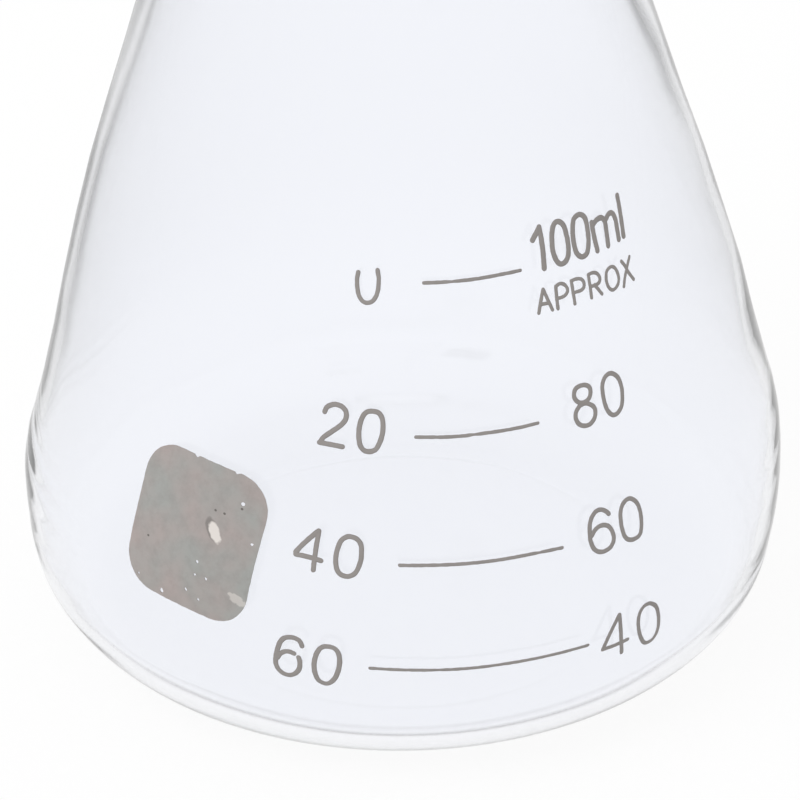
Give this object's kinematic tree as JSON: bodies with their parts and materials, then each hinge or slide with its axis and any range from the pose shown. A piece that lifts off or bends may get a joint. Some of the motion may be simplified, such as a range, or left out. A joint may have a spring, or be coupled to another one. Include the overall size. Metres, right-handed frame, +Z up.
{
  "type": "erlenmeyer flask",
  "caption": "Clear conical laboratory flask with a rounded foot, a narrow beaded neck, a printed volume scale and a marking patch, for mixing and heating liquids.",
  "frame": {"origin": "centre of the flat seat ring that the flask stands on", "axes": "+Z up along the flask's axis, -Y towards the printed scale, +X to the scale's right"},
  "size_m": [0.064, 0.0641, 0.105],
  "materials": {
    "borosilicate_glass": "clear blown borosilicate glass, fire polished",
    "scale_enamel": "fired grey enamel print, satin",
    "patch_enamel": "fired grey enamel patch, satin, pinholed"
  },
  "bodies": {
    "root": {"flask": "borosilicate_glass", "graduation_lines": "scale_enamel", "marking_patch": "patch_enamel"}
  },
  "joints": []
}
